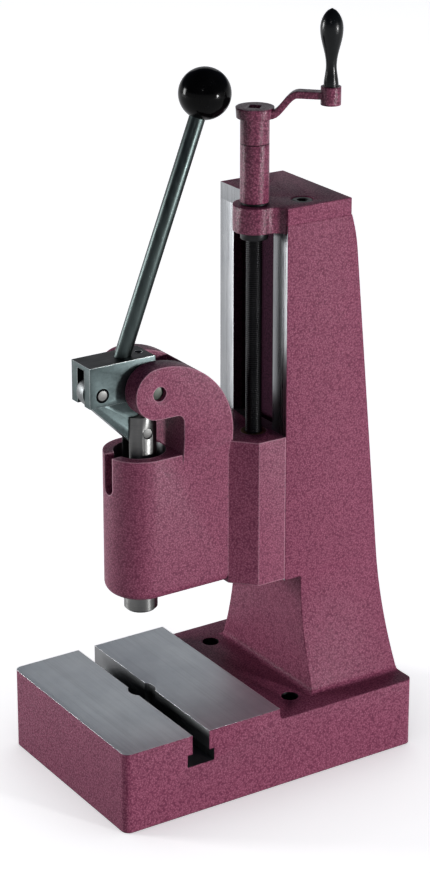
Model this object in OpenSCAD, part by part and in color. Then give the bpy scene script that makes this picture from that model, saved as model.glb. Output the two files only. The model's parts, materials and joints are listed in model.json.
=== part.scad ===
// Bench toggle press: a hand lever straightens a knee joint and drives a ram,
// and a screw spindle sets the height of the head on the column.
// Origin at the centre of the base's underside, front towards -Y, +Z up.

/* [Base] */
// Width of the base across the press
base_w = 138; // [120:1:160]
// Length of the base from front to back
base_l = 214; // [206:1:240]
// Height of the ground table above the bench
table_h = 52.5; // [46:0.5:60]
// Length of the ground table from the front edge
table_l = 111.5; // [104:0.5:116]
// Step from the table down to the rear flange
flange_step = 7.5; // [4:0.5:12]
// Radius of the fillet between the table's end and the flange
step_fillet = 3; // [1:0.25:3.5]
// Radius of the base's upright corners
base_corner_r = 5; // [2:0.5:10]
// Distance between the two bench bolt holes
bolt_spacing = 92; // [84:1:106]
// Diameter of the bench bolt holes
bolt_hole_d = 11; // [7:0.5:14]
// Distance of the bench bolt holes behind the table
bolt_setback = 23; // [12:0.5:26]
// Thickness of the base's outer walls underneath
base_wall = 13; // [8:0.5:18]
// Depth of the hollow under the table
hollow_depth = 18; // [8:0.5:22]
// Thickness of the cross rib between the hollows
base_rib = 16; // [10:0.5:20]

/* [Table slot] */
// Distance from the front edge to the tool axis
tool_setback = 53.5; // [48:0.5:60]
// Width of the T-slot's neck
slot_neck_w = 12; // [8:0.5:14]
// Width of the T-slot's undercut
slot_foot_w = 19; // [16:0.5:24]
// Height of the T-slot's undercut
slot_foot_h = 8; // [5:0.5:10]
// Depth of the T-slot below the table
slot_depth = 20.5; // [16:0.5:24]
// Diameter of the die bore in the table
table_bore_d = 17.5; // [14:0.5:20]
// Wall round the die bore under the table
die_boss_wall = 9; // [6:0.5:12]

/* [Column] */
// Width of the column at the slideway
col_w = 74; // [66:1:84]
// Distance from the tool axis to the slideway
throat = 82.5; // [76:0.5:88]
// Height of the column's top above the table
col_rise = 298.5; // [270:0.5:320]
// Depth of the column at its top
col_depth = 49.8; // [48:0.2:56]
// Lean of the column's back in degrees
back_lean = 5.2; // [3:0.1:6]
// Height of the rounded shoulder at the column's top back edge
shoulder_h = 23; // [12:1:40]
// Setback of the column's foot behind the slideway
foot_setback = 12; // [6:0.5:16]
// Height of the slideway's lower end above the table
slide_rise = 68; // [60:0.5:80]
// Radius of the flare at the column's sides
flare_r = 220; // [160:5:300]
// Height above the table at which the flare starts
flare_rise = 72; // [60:1:90]
// Radius of the cast fillet round the column's foot
foot_fillet = 4; // [2:0.5:10]
// Width of the guide slot in the slideway
guide_w = 44; // [38:0.5:50]
// Thickness of the rails either side of the guide slot
rail_t = 7; // [5.5:0.5:7.5]
// Overhang of each rail over the chamber behind it
rail_lip = 7; // [5:0.5:8]
// Room behind the retaining plate in its chamber
chamber_room = 1; // [0.5:0.1:1.5]

/* [Top plate] */
// Thickness of the top plate
plate_t = 10.7; // [8:0.1:14]
// Depth of the top plate from front to back
plate_d = 46.8; // [42:0.2:50]
// Height of the spindle boss
boss_h = 16; // [12:0.5:22]
// Radius of the spindle boss
boss_r = 13.2; // [11.5:0.1:14]
// Radius of the fillets beside the spindle boss
boss_fillet = 8; // [4:0.5:9]
// Distance between the plate screws
plate_screw_spacing = 46.6; // [40:0.2:54]
// Distance of the plate screws behind the slideway
plate_screw_setback = 19.8; // [16:0.2:26]
// Head diameter of the plate screws
plate_screw_head_d = 13; // [10:0.5:14]
// Thread diameter of the plate screws
plate_screw_d = 8; // [5:0.5:8]
// Length of the plate screws under their heads
plate_screw_l = 16; // [12:0.5:20]

/* [Head] */
// Gap between the table and the head at rest
daylight = 69.2; // [62:0.2:80]
// Height of the head's carriage
head_h = 94.6; // [86:0.2:104]
// Radius of the ram barrel
barrel_r = 22.5; // [21:0.1:25]
// Drop of the barrel's rim below the carriage's top
rim_drop = 2.3; // [0:0.1:4]
// Radius of the barrel's lower edge
barrel_edge_r = 7; // [2:0.5:10]
// Depth of the carriage's side faces
carriage_d = 19.5; // [16:0.5:24]
// Depth of the oblique faces between carriage and barrel
oblique_d = 13.2; // [8:0.2:18]
// Radius of the barrel's inner space for the link
cavity_r = 16; // [15.2:0.1:17]
// Length of the ram's guide in the barrel
ram_guide_l = 50; // [40:0.5:54]
// Width of the link's slot in the barrel front
front_slot_w = 9; // [8.6:0.1:12]
// Depth of the link's slot in the barrel front
front_slot_depth = 25; // [14:0.5:34]
// Height of the guide tongue's lower end above the head's underside
tongue_rise = 20; // [14:0.5:30]
// Thickness of the retaining plate behind the rails
guide_plate_t = 5.5; // [4.5:0.1:5.5]
// Thread diameter of the retaining plate's countersunk screws
guide_screw_d = 5; // [4:0.5:5]
// Depth of the retaining plate's screws in the head
guide_screw_l = 6; // [5:0.5:6.5]

/* [Ears] */
// Height of the lever pivot above the carriage
pivot_rise = 40.7; // [40:0.1:46]
// Half of the width across the ears
ear_out = 24.2; // [23:0.1:26]
// Radius of the ears round the pivot
ear_r = 16.3; // [15:0.1:17]
// Radius of the long arc from the ears' top down to their back
ear_back_r = 50; // [47:0.5:52]
// Distance of the arc's centre behind the pivot
ear_back_y = 2.3; // [0:0.1:4]
// Depth at which the ears run out on the barrel's sides
ear_foot = 7; // [4:0.5:12]
// Reach of the slot between the ears behind the pivot
ear_slot_back = 27; // [23:0.5:29]
// Distance of the opening's back wall behind the pivot
ear_gap_back = 17.2; // [16.5:0.1:20]
// Diameter of the lever's pivot pin
pivot_pin_d = 9; // [7:0.5:10]
// Recess of the pivot pin's ends in the ears
pivot_pin_recess = 3; // [1:0.5:5]

/* [Toggle] */
// Distance from the lever pivot to the knee pin
knee_arm = 31.5; // [30:0.25:33]
// Length of the link from the knee pin to the ram pin
link_l = 44; // [43:0.25:46]
// Angle of the knee above the pivot at rest, in degrees
knee_rest = 2; // [0:0.5:4]
// Turn of the lever over its whole stroke, in degrees
lever_turn = 87; // [80:0.5:88]
// Width of the toggle hub
hub_w = 21.5; // [18:0.5:22]
// Height of the hub above the pivot
hub_above = 19.6; // [17:0.1:22]
// Depth of the hub below the pivot
hub_below = 6; // [5.5:0.1:8]
// Overhang of the hub in front of the knee pin
hub_front = 8.7; // [7:0.1:9.2]
// Reach of the hub's top behind the pivot
hub_back = 5.3; // [4:0.1:9]
// Radius of the hub round the pivot
hub_eye_r = 9.5; // [8.5:0.1:11]
// Thickness of the hub's roof over the link's channel
hub_roof = 11; // [9:0.5:12]
// Reach of the hub's high front channel behind the knee pin
hub_channel_l = 10.3; // [10.1:0.1:10.8]
// Thickness of the hub's roof over its high front channel
hub_front_roof = 3; // [2:0.5:4]
// Thickness of the link
link_t = 7.4; // [6:0.1:7.4]
// Radius of the link's knee end
link_eye_r = 9.6; // [9:0.1:9.8]
// Radius of the link's ram end
link_end_r = 10; // [9:0.25:10.25]
// Wall round the ram pin's path in the link
link_wall = 3; // [2:0.25:4]
// Diameter of the knee pin
knee_pin_d = 7; // [6:0.5:8]
// Diameter of the ram pin
ram_pin_d = 7; // [5:0.5:7]
// Wall of the bush in the link's knee end
link_bush_wall = 1.5; // [1:0.1:2]
// Diameter of the hub's set screw
set_screw_d = 5; // [4:0.5:6]

/* [Lever] */
// Diameter of the lever rod
rod_d = 10; // [8:0.5:12]
// Length of the rod from the hub to the knob's centre
rod_l = 164; // [140:1:200]
// Lean of the rod behind the hub's upright, in degrees
rod_lean = 21; // [16:0.5:24]
// Distance of the rod's seat in front of the pivot
rod_seat = 11.3; // [9:0.1:13]
// Depth of the rod's seat in the hub
rod_depth = 9; // [5:0.5:9]
// Diameter of the ball knob
knob_d = 32; // [25:0.5:40]
// Depth of the rod in the knob, as far as its centre
knob_flat = 0.8; // [0.3:0.1:2]

/* [Ram] */
// Diameter of the ram
ram_d = 21; // [20:0.1:22]
// Height of the ram's top above its pin
ram_top = 10.5; // [9:0.5:11]
// Length of ram standing out below the barrel at rest
ram_out = 12.5; // [8:0.5:16]
// Depth of the clevis slot below the ram pin
clevis_depth = 19.5; // [19:0.5:22]
// Diameter of the tool bore
tool_bore_d = 10; // [6:0.5:12]
// Depth of the tool bore
tool_bore_l = 25; // [15:0.5:35]
// Chamfer at the ram's lower end
ram_chamfer = 1.5; // [0.5:0.1:3]

/* [Spindle] */
// Distance of the spindle beside the press's middle
spindle_x = 16; // [14:0.5:18]
// Distance of the spindle in front of the slideway
spindle_lead = 10; // [9.5:0.5:11]
// Height of the spindle's lower end above the head's underside
spindle_tail = 5; // [2:0.5:12]
// Diameter of the spindle
spindle_d = 10; // [10:0.1:11]
// Outer diameter of the spacer sleeve and crank neck
sleeve_d = 17.7; // [16:0.1:20]
// Length of the spacer sleeve
sleeve_l = 36.6; // [28:0.2:44]
// Thickness of the thrust washer
washer_t = 1.2; // [0.8:0.1:2]
// Diameter of the collar under the boss
collar_d = 17; // [15:0.5:18]
// Height of the collar under the boss
collar_h = 5; // [4:0.5:7]
// Outer diameter of the spindle nut
nut_d = 16; // [14:0.5:17]
// Length of the spindle nut
nut_l = 30; // [20:1:40]
// Wall of the bush in the spindle boss
spindle_bush_wall = 2; // [1:0.25:2.5]

/* [Crank] */
// Height of the crank's neck
neck_h = 15.4; // [12:0.2:20]
// Diameter of the crank's head
crank_head_d = 23.3; // [21:0.1:26]
// Height of the crank's head
crank_head_h = 6.4; // [5:0.2:8]
// Side of the square drive
square_w = 7; // [6:0.1:7]
// Depth of the spindle's end below the crank's top
square_recess = 4; // [2:0.5:6]
// Radius of the crank from spindle to grip
crank_r = 45.5; // [40:0.5:52]
// Direction of the crank from the right-hand side, in degrees
crank_dir = 45; // [20:1:70]
// Rise of the arm from the crank's head to the grip boss
arm_rise = 13.5; // [10:0.5:18]
// Thickness of the crank arm
arm_t = 4.2; // [3.6:0.2:5.4]
// Width of the crank arm at its root
arm_w = 9; // [7:0.5:11]
// Diameter of the grip boss
grip_boss_d = 12.2; // [10:0.2:14]
// Height of the grip boss
grip_boss_h = 11; // [9:0.5:13]
// Length of the crank grip
grip_l = 46.5; // [40:0.5:56]
// Largest diameter of the crank grip
grip_d = 13.7; // [12:0.1:17]
// Diameter of the crank grip at its waist
grip_waist_d = 6.4; // [6:0.1:7]
// Diameter of the grip's axle
grip_axle_d = 3; // [2.5:0.25:3.5]
// Length of the grip's axle inside the grip
grip_axle_l = 37; // [28:0.5:38]

/* [Fits] */
// Radial clearance of running fits
run_fit = 0.05; // [0.02:0.01:0.1]
// Clearance of the sliding guide
slide_fit = 0.05; // [0.02:0.01:0.1]
// Gap between parts that turn past each other
side_gap = 0.3; // [0.2:0.05:0.4]
// Clearance of fixed pieces in their seats
seat_fit = 0.01; // [0:0.01:0.03]

/* [Hidden] */
$fn = 96;
over = 1;
base_front = -base_l / 2;
tool_y = base_front + tool_setback;
slide_y = tool_y + throat;
table_end = base_front + table_l;
flange_h = table_h - flange_step;
slot_floor = table_h - slot_depth;
bolt_y = table_end + bolt_setback;

col_top = table_h + col_rise;
foot_y = slide_y + foot_setback;
slide_z = table_h + slide_rise;
flare_z = table_h + flare_rise;
foot_bottom = flange_h - over;
plate_top = col_top + plate_t;
chamber_y = slide_y + rail_t;
chamber_w = guide_w + 2 * rail_lip;
chamber_d = guide_plate_t + 2 * slide_fit + chamber_room;
plate_screw_y = slide_y + plate_screw_setback;
plate_screw_head_h = plate_screw_d;
plate_screw_sink = 0.4;
plate_screw_z = plate_top - plate_screw_sink - plate_screw_head_h;

head_z = table_h + daylight;
head_top = head_z + head_h;
rim_z = head_top - rim_drop;
pivot_z = head_top + pivot_rise;
cavity_z = head_z + ram_guide_l;
guide_clear_below = 12;
tongue_z = head_z + tongue_rise;
guide_z = tongue_z - guide_clear_below;
tongue_depth = rail_t + 2 * slide_fit;
guide_plate_y = slide_y - slide_fit + tongue_depth;
guide_plate_margin = 0.5;
ear_gap = hub_w + 2 * side_gap;
ear_gap_y = tool_y + ear_gap_back;
ear_back_drop = sqrt(pow(ear_back_r - ear_r, 2) - ear_back_y * ear_back_y);

rest_turn = -knee_rest;
end_turn = lever_turn - knee_rest;
hub_reach = knee_arm * cos(knee_rest) + hub_front;
knee_y = tool_y - knee_arm * cos(knee_rest);
knee_z = pivot_z + knee_arm * sin(knee_rest);
ram_pin_z = pivot_z - drop(rest_turn);
ram_end = head_z - ram_out;
clevis_w = link_t + 2 * side_gap;

spindle_y = slide_y - spindle_lead;
collar_top = plate_top - boss_h - side_gap;
sleeve_z = plate_top + washer_t + side_gap;
crank_z = sleeve_z + sleeve_l + seat_fit;
crank_head_z = crank_z + neck_h;
crank_top = crank_head_z + crank_head_h;
spindle_end = crank_top - square_recess;
spindle_start = head_z + spindle_tail;
grip_boss_z = crank_head_z + arm_rise - grip_boss_h / 2 + arm_t / 2;
grip_z = grip_boss_z + grip_boss_h + side_gap;

paint = [0.47, 0.25, 0.34];
ground_steel = [0.62, 0.64, 0.66];
blued_steel = [0.28, 0.34, 0.35];
dark_steel = [0.16, 0.17, 0.17];
bright_steel = [0.78, 0.78, 0.8];
bronze = [0.66, 0.5, 0.26];
black_resin = [0.05, 0.05, 0.05];

// Knee geometry: the turn is counted downwards from the level line in front of the pivot
function drop(turn) =
    knee_arm * sin(turn) + sqrt(link_l * link_l - pow(knee_arm * cos(turn), 2));
function link_angle(turn) = asin(knee_arm * cos(turn) / link_l);

// Travel of the ram and turn of the link at a share of the stroke, at constant ratios
function ram_travel(share) = share * (drop(end_turn) - drop(rest_turn));
function link_turned(share) =
    link_angle(rest_turn) - share * (link_angle(rest_turn) - link_angle(end_turn));

// Place of the ram pin in the link's frame, along the link and across it
function pin_offset(share) =
    let (
        turn = rest_turn + share * lever_turn,
        lean = link_turned(share),
        back = knee_arm * cos(turn),
        down = drop(rest_turn) + ram_travel(share) - knee_arm * sin(turn)
    )
    [back * sin(lean) + down * cos(lean) - link_l, back * cos(lean) - down * sin(lean)];

pin_path = [for (i = [0:12]) pin_offset(i / 12)];

function back_y(z) = slide_y + col_depth + (col_top - z) * tan(back_lean);
// Shared shapes

module rounded_plan(w, l, r) {
    square([w - 2 * r, l], center = true);
    square([w, l - 2 * r], center = true);
    for (x = [-1, 1], y = [-1, 1])
        translate([x * (w / 2 - r), y * (l / 2 - r)])
            circle(r);
}

module along_x(length) {
    rotate([90, 0, 90])
        linear_extrude(length, center = true)
            children();
}

module along_y(from, to) {
    translate([0, to, 0])
        rotate([90, 0, 0])
            linear_extrude(to - from)
                children();
}

module cross_pin(d, length) {
    rotate([0, 90, 0])
        cylinder(d = d, h = length, center = true);
}

// Screws stand on Z = 0 with the head upwards, a countersunk one with its head's top at Z = 0

module hex_socket(thread_d, depth) {
    corner_share = 0.85;
    translate([0, 0, -depth])
        cylinder(d = thread_d * corner_share, h = depth + over, $fn = 6);
}

module socket_screw(thread_d, length, head_d, head_h) {
    difference() {
        union() {
            cylinder(d = head_d, h = head_h);
            translate([0, 0, -length])
                cylinder(d = thread_d, h = length + head_h / 2);
        }
        translate([0, 0, head_h])
            hex_socket(thread_d, head_h / 2);
    }
}

module countersunk_body(thread_d, length, head_d) {
    head_h = (head_d - thread_d) / 2;
    rotate_extrude()
        polygon([
            [0, 0],
            [head_d / 2, 0],
            [thread_d / 2, -head_h],
            [thread_d / 2, -length],
            [0, -length]
        ]);
}

// Base and column

// Side view of the base with the fillet at the table's end
module base_side_2d() {
    translate([base_front, 0])
        square([base_l, flange_h]);
    translate([base_front, 0])
        square([table_l, table_h]);
    difference() {
        translate([table_end - over, flange_h - over])
            square([step_fillet + over, step_fillet + over]);
        translate([table_end + step_fillet, flange_h + step_fillet])
            circle(step_fillet);
    }
}

module base_block() {
    intersection() {
        linear_extrude(table_h)
            rounded_plan(base_w, base_l, base_corner_r);
        along_x(base_w)
            base_side_2d();
    }
}

// Side view of the column; its shoulder runs from behind the top plate onto the leaning back
module column_side_2d() {
    steps = 8;
    ledge = 0.5;
    bend_z = col_top - shoulder_h / 2;
    shoulder_z = col_top - shoulder_h;
    shoulder = [
        for (i = [0:steps])
            let (s = i / steps)
                pow(1 - s, 2) * [slide_y + plate_d + ledge, col_top]
                    + 2 * s * (1 - s) * [back_y(bend_z), bend_z]
                    + s * s * [back_y(shoulder_z), shoulder_z]
    ];
    polygon(concat(
        [
            [back_y(foot_bottom), foot_bottom],
            [foot_y, foot_bottom],
            [foot_y, slide_z],
            [slide_y, slide_z],
            [slide_y, col_top]
        ],
        shoulder
    ));
    difference() {
        translate([foot_y - foot_fillet, foot_bottom])
            square([foot_fillet + over, flange_h + foot_fillet - foot_bottom]);
        translate([foot_y - foot_fillet, flange_h + foot_fillet])
            circle(foot_fillet);
    }
}

// Front view of the column; the foot's fillets run smoothly out of the flare
module column_front_2d() {
    flare_x = col_w / 2 + flare_r;
    fillet_z = flange_h + foot_fillet;
    fillet_x = flare_x - sqrt(pow(flare_r - foot_fillet, 2) - pow(flare_z - fillet_z, 2));
    touch_z = flare_z - (flare_z - fillet_z) * flare_r / (flare_r - foot_fillet);
    translate([-col_w / 2, foot_bottom])
        square([col_w, col_top - foot_bottom]);
    difference() {
        translate([-fillet_x, foot_bottom])
            square([2 * fillet_x, flare_z - foot_bottom]);
        for (side = [-1, 1])
            translate([side * flare_x, flare_z])
                circle(flare_r, $fn = 360);
    }
    difference() {
        translate([-fillet_x, foot_bottom])
            square([2 * fillet_x, touch_z - foot_bottom]);
        for (side = [-1, 1])
            translate([side * fillet_x, fillet_z])
                circle(foot_fillet);
    }
}

module column() {
    intersection() {
        along_x(base_w)
            column_side_2d();
        along_y(base_front, base_l / 2)
            column_front_2d();
    }
}

module table_slot() {
    along_x(base_w + 2 * over) {
        translate([tool_y - slot_neck_w / 2, slot_floor])
            square([slot_neck_w, slot_depth + over]);
        translate([tool_y - slot_foot_w / 2, slot_floor])
            square([slot_foot_w, slot_foot_h]);
    }
    translate([0, tool_y, -over])
        cylinder(d = table_bore_d, h = table_h + 2 * over);
}

module guideway() {
    translate([-guide_w / 2, slide_y - over, guide_z])
        cube([guide_w, rail_t + 2 * over, col_top - guide_z + over]);
    translate([-chamber_w / 2, chamber_y, guide_z])
        cube([chamber_w, chamber_d, col_top - guide_z + over]);
}

// The casting is cored from below, with bosses left round the die bore and a rib across
module base_hollow() {
    hollow_w = base_w - 2 * base_wall;
    core_y = bolt_y + bolt_hole_d / 2 + base_wall;
    core_l = base_l / 2 - base_wall - core_y;
    core_w = col_w - 2 * base_wall;
    translate([0, 0, -over])
        linear_extrude(hollow_depth + over)
            difference() {
                translate([0, (base_front + base_wall - base_rib / 2) / 2])
                    rounded_plan(hollow_w, -base_front - base_wall - base_rib / 2, base_corner_r);
                translate([0, tool_y])
                    circle(table_bore_d / 2 + die_boss_wall);
            }
    translate([0, 0, -over])
        linear_extrude(flange_h - base_wall + over)
            translate([0, core_y + core_l / 2])
                rounded_plan(hollow_w, core_l, base_corner_r);
    translate([0, 0, -over])
        linear_extrude(guide_z - base_wall + over)
            translate([0, core_y + core_l / 2])
                rounded_plan(core_w, core_l - base_wall, base_corner_r);
}

module frame_casting() {
    color(paint)
        difference() {
            union() {
                base_block();
                column();
            }
            table_slot();
            guideway();
            base_hollow();
            for (side = [-1, 1]) {
                translate([side * bolt_spacing / 2, bolt_y, -over])
                    cylinder(d = bolt_hole_d, h = flange_h + 2 * over);
                translate([side * plate_screw_spacing / 2, plate_screw_y, 0])
                    plate_screw_hole();
            }
        }
}

// Top plate with the spindle's boss

module plate_screw_hole() {
    tap_room = 3;
    hole_z = plate_screw_z - plate_screw_l - tap_room;
    translate([0, 0, hole_z])
        cylinder(d = plate_screw_d + 2 * seat_fit, h = plate_top - hole_z);
}

module boss_web_2d() {
    web_x = sqrt(pow(boss_r + boss_fillet, 2) - pow(spindle_lead - boss_fillet, 2));
    difference() {
        translate([spindle_x - web_x, spindle_y])
            square([2 * web_x, spindle_lead + over]);
        for (side = [-1, 1])
            translate([spindle_x + side * web_x, slide_y - boss_fillet])
                circle(boss_fillet);
        translate([col_w / 2, spindle_y - over])
            square([2 * web_x, spindle_lead + 2 * over]);
    }
}

module top_plate() {
    head_room = 0.8;
    color(paint)
        difference() {
            union() {
                translate([-col_w / 2, slide_y, col_top])
                    cube([col_w, plate_d, plate_t]);
                translate([0, 0, plate_top - boss_h])
                    linear_extrude(boss_h)
                        intersection() {
                            union() {
                                boss_web_2d();
                                translate([spindle_x, spindle_y])
                                    circle(boss_r);
                            }
                            translate([-col_w / 2, spindle_y - boss_r])
                                square([col_w, boss_r + spindle_lead - slide_fit]);
                        }
                translate([0, 0, col_top])
                    linear_extrude(plate_t)
                        translate([spindle_x - boss_r, slide_y - over])
                            square([2 * boss_r, 2 * over]);
            }
            translate([spindle_x, spindle_y, plate_top - boss_h - over])
                cylinder(r = spindle_d / 2 + spindle_bush_wall + seat_fit, h = boss_h + 2 * over);
            for (side = [-1, 1])
                translate([side * plate_screw_spacing / 2, plate_screw_y, 0]) {
                    plate_screw_hole();
                    translate([0, 0, plate_screw_z])
                        cylinder(d = plate_screw_head_d + head_room, h = plate_t);
                }
        }
}

module top_plate_screws() {
    color(dark_steel)
        for (side = [-1, 1])
            translate([side * plate_screw_spacing / 2, plate_screw_y, plate_screw_z])
                socket_screw(plate_screw_d, plate_screw_l, plate_screw_head_d, plate_screw_head_h);
}

module spindle_bush() {
    color(bronze)
        translate([spindle_x, spindle_y, plate_top - boss_h])
            difference() {
                cylinder(r = spindle_d / 2 + spindle_bush_wall, h = boss_h);
                translate([0, 0, -over])
                    cylinder(r = spindle_d / 2 + run_fit, h = boss_h + 2 * over);
            }
}

// Head: barrel, carriage, guide tongue and the ears that carry the lever

module barrel_half_2d(to_z) {
    difference() {
        translate([0, head_z])
            square([barrel_r, to_z - head_z]);
        translate([barrel_r - barrel_edge_r, head_z - over])
            square([barrel_edge_r + over, barrel_edge_r + over]);
    }
    translate([barrel_r - barrel_edge_r, head_z + barrel_edge_r])
        circle(barrel_edge_r);
}

module barrel() {
    translate([0, tool_y, 0])
        rotate_extrude()
            intersection() {
                barrel_half_2d(rim_z);
                translate([0, head_z - over])
                    square([barrel_r + over, head_h + 2 * over]);
            }
    along_y(tool_y, slide_y - oblique_d)
        for (side = [0, 1])
            mirror([side, 0])
                barrel_half_2d(rim_z);
}

module carriage() {
    back = slide_y - slide_fit;
    side_front = slide_y - carriage_d;
    translate([0, 0, head_z])
        linear_extrude(head_h)
            polygon([
                [col_w / 2, back],
                [col_w / 2, side_front],
                [barrel_r, side_front - oblique_d],
                [-barrel_r, side_front - oblique_d],
                [-col_w / 2, side_front],
                [-col_w / 2, back]
            ]);
    translate([-guide_w / 2 + slide_fit, back - over, tongue_z])
        cube([guide_w - 2 * slide_fit, tongue_depth + over, head_top - tongue_z]);
}

// Side view of the ears: a round front that runs into one long arc down to the back
module ear_side_2d() {
    arc_z = pivot_z - ear_back_drop;
    foot_z = rim_z - ear_foot;
    back = tool_y + ear_back_y + ear_back_r;
    translate([tool_y, pivot_z])
        circle(ear_r, $fn = 96);
    difference() {
        union() {
            intersection() {
                translate([tool_y + ear_back_y, arc_z])
                    circle(ear_back_r, $fn = 180);
                translate([tool_y, arc_z])
                    square([back - tool_y, ear_back_r + over]);
            }
            translate([tool_y, foot_z])
                square([back - tool_y, arc_z - foot_z + over]);
        }
        ear_opening_2d();
    }
}

// The opening under the ears with a rounded inner corner
module ear_opening_2d() {
    corner = 5;
    top = pivot_z - ear_r;
    translate([base_front, head_z])
        square([ear_gap_y - corner - base_front, top - head_z]);
    translate([base_front, head_z])
        square([ear_gap_y - base_front, top - corner - head_z]);
    translate([ear_gap_y - corner, top - corner])
        circle(corner);
}

// Front view of the ears: upright sides that draw in to the barrel's width
module ear_front_2d() {
    top = pivot_z + ear_r + ear_back_r;
    straight_z = pivot_z - ear_back_drop;
    foot_z = rim_z - ear_foot;
    polygon([
        [ear_out, top],
        [ear_out, straight_z],
        [barrel_r, foot_z],
        [-barrel_r, foot_z],
        [-ear_out, straight_z],
        [-ear_out, top]
    ]);
}

module ears() {
    difference() {
        intersection() {
            along_x(2 * ear_out + 2 * over)
                ear_side_2d();
            along_y(base_front, slide_y)
                ear_front_2d();
        }
        translate([-ear_gap / 2, base_front, head_z])
            cube([ear_gap, ear_gap_y - base_front, pivot_z]);
        translate([-ear_gap / 2, base_front, pivot_z - ear_r])
            cube([ear_gap, tool_y + ear_slot_back - base_front, pivot_z]);
    }
}

module barrel_space() {
    slot_end = rim_z - front_slot_depth + front_slot_w / 2;
    translate([0, tool_y, 0]) {
        translate([0, 0, head_z - over])
            cylinder(r = ram_d / 2 + run_fit, h = head_h);
        translate([0, 0, cavity_z])
            cylinder(r = cavity_r, h = head_h);
    }
    along_y(tool_y - barrel_r - over, tool_y) {
        translate([0, slot_end])
            circle(d = front_slot_w);
        translate([-front_slot_w / 2, slot_end])
            square([front_slot_w, head_h]);
    }
}

module spindle_passage() {
    thread_room = 1;
    translate([spindle_x, spindle_y, head_z - over])
        cylinder(r = spindle_d / 2 + thread_room, h = head_h + 2 * over);
    translate([spindle_x, spindle_y, head_top - nut_l])
        cylinder(r = nut_d / 2 + seat_fit, h = nut_l + over);
}

module head_casting() {
    color(paint)
        difference() {
            union() {
                barrel();
                carriage();
                ears();
            }
            barrel_space();
            spindle_passage();
            translate([0, tool_y, pivot_z])
                cross_pin(pivot_pin_d + 2 * run_fit, 2 * ear_out + 2 * over);
            guide_screw_holes();
        }
}

module spindle_nut() {
    color(bronze)
        translate([spindle_x, spindle_y, head_top - nut_l])
            difference() {
                cylinder(d = nut_d, h = nut_l);
                translate([0, 0, -over])
                    cylinder(r = spindle_d / 2 + run_fit, h = nut_l + 2 * over);
            }
}

// Places of the retaining plate's screws on its back, with +Z pointing to the rear
module guide_screw_places() {
    spacing_x = guide_w / 2;
    spacing_z = (head_top - tongue_z) * 0.6;
    middle = (tongue_z + head_top) / 2;
    for (x = [-1, 1], z = [-1, 1])
        translate([x * spacing_x / 2, guide_plate_y + guide_plate_t, middle + z * spacing_z / 2])
            rotate([-90, 0, 0])
                children();
}

module guide_screw_shape(fit, length) {
    head_share = 1.9;
    countersunk_body(guide_screw_d + 2 * fit, length, guide_screw_d * head_share + 2 * fit);
}

module guide_screw_holes() {
    tap_room = 1;
    guide_screw_places()
        guide_screw_shape(seat_fit, guide_plate_t + guide_screw_l + tap_room);
}

module guide_plate() {
    edge = 4;
    plate_h = head_top - tongue_z - 2 * edge;
    color(ground_steel)
        difference() {
            translate([-chamber_w / 2 + guide_plate_margin, guide_plate_y, tongue_z + edge])
                cube([chamber_w - 2 * guide_plate_margin, guide_plate_t, plate_h]);
            guide_screw_holes();
        }
}

module guide_plate_screws() {
    color(dark_steel)
        guide_screw_places()
            difference() {
                guide_screw_shape(0, guide_plate_t + guide_screw_l);
                hex_socket(guide_screw_d, guide_screw_d / 2);
            }
}

// Lever: drawn with the hub's pin line level, then tipped to its place at rest

module on_lever() {
    translate([0, tool_y, pivot_z])
        children();
}

module on_knee() {
    translate([0, knee_y, knee_z])
        children();
}

module on_rod() {
    on_lever()
        translate([0, -rod_seat, hub_above])
            rotate([-rod_lean, 0, 0])
                children();
}

module hub_side_2d() {
    translate([-hub_reach, -hub_below])
        square([hub_reach + hub_back, hub_above + hub_below]);
    circle(hub_eye_r);
}

module toggle_hub() {
    cheek_gap = link_t + 2 * side_gap;
    ring = 0.9;
    ring_flare = 2.2;
    color(blued_steel)
        difference() {
            on_lever()
                difference() {
                    along_x(hub_w)
                        hub_side_2d();
                    translate([-cheek_gap / 2, -hub_reach - over, -hub_eye_r - over])
                        cube([cheek_gap, hub_reach + hub_eye_r + 2 * over,
                            hub_eye_r + hub_above - hub_roof + over]);
                    translate([-cheek_gap / 2, -hub_reach - over, -hub_below - over])
                        cube([cheek_gap, hub_front + hub_channel_l + over,
                            hub_below + hub_above - hub_front_roof + over]);
                    cross_pin(pivot_pin_d + 2 * seat_fit, hub_w + over);
                    cylinder(d = set_screw_d + 2 * seat_fit, h = hub_above + over);
                }
            on_knee() {
                cross_pin(knee_pin_d + 2 * seat_fit, hub_w + over);
                for (side = [-1, 1])
                    translate([side * hub_w / 2, 0, 0])
                        rotate([0, side * 90, 0])
                            translate([0, 0, -ring])
                                cylinder(d1 = knee_pin_d, d2 = knee_pin_d + ring_flare * ring,
                                    h = ring + seat_fit);
            }
            on_rod()
                translate([0, 0, -rod_depth])
                    cylinder(d = rod_d + 2 * seat_fit, h = 2 * rod_depth);
        }
}

module lever_rod() {
    color(dark_steel)
        on_rod()
            translate([0, 0, -rod_depth])
                cylinder(d = rod_d, h = rod_depth + rod_l);
}

module ball_knob() {
    ball_r = knob_d / 2;
    color(black_resin)
        on_rod()
            translate([0, 0, rod_l])
                difference() {
                    sphere(ball_r);
                    translate([0, 0, -ball_r - knob_d + knob_flat])
                        cylinder(r = ball_r, h = knob_d);
                    translate([0, 0, -knob_d])
                        cylinder(d = rod_d + 2 * seat_fit, h = knob_d);
                }
}

module pivot_pin() {
    color(blued_steel)
        on_lever()
            cross_pin(pivot_pin_d, 2 * (ear_out - pivot_pin_recess));
}

module knee_pin() {
    color(bright_steel)
        on_knee()
            cross_pin(knee_pin_d, hub_w);
}

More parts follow.
